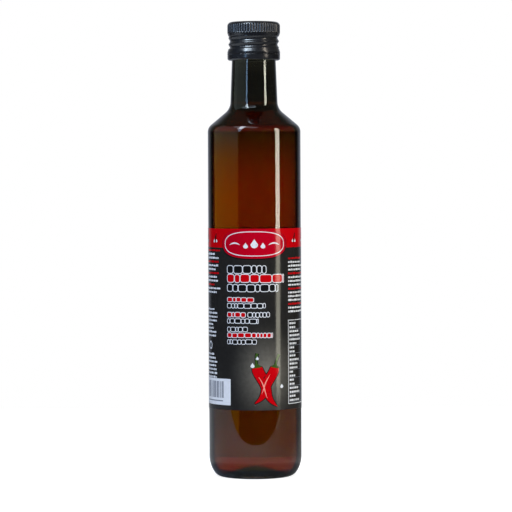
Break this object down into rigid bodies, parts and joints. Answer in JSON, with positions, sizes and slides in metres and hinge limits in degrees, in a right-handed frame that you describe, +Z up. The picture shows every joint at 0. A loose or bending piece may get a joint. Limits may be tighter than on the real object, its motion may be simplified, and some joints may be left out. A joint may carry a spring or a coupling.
{
  "type": "chili oil bottle",
  "caption": "Slim round glass bottle of dark red chili oil with conical shoulder, tapered neck, ribbed black screw cap and wrap-round label.",
  "frame": {"origin": "middle of the flat ring that the bottle stands on", "axes": "+Z up along the bottle's axis, the front of the label faces -Y, +X to the right seen from the front"},
  "size_m": [0.0582, 0.0582, 0.2843],
  "materials": {
    "glass": "smooth clear glass",
    "oil": "dark red oil, clear in a thin layer",
    "cap": "black lacquer, semi-gloss",
    "label": "printed film, charcoal with a red band"
  },
  "bodies": {
    "root": {"bottle_glass": "glass", "oil": "oil", "screw_cap": "cap", "label": "label"}
  },
  "joints": []
}
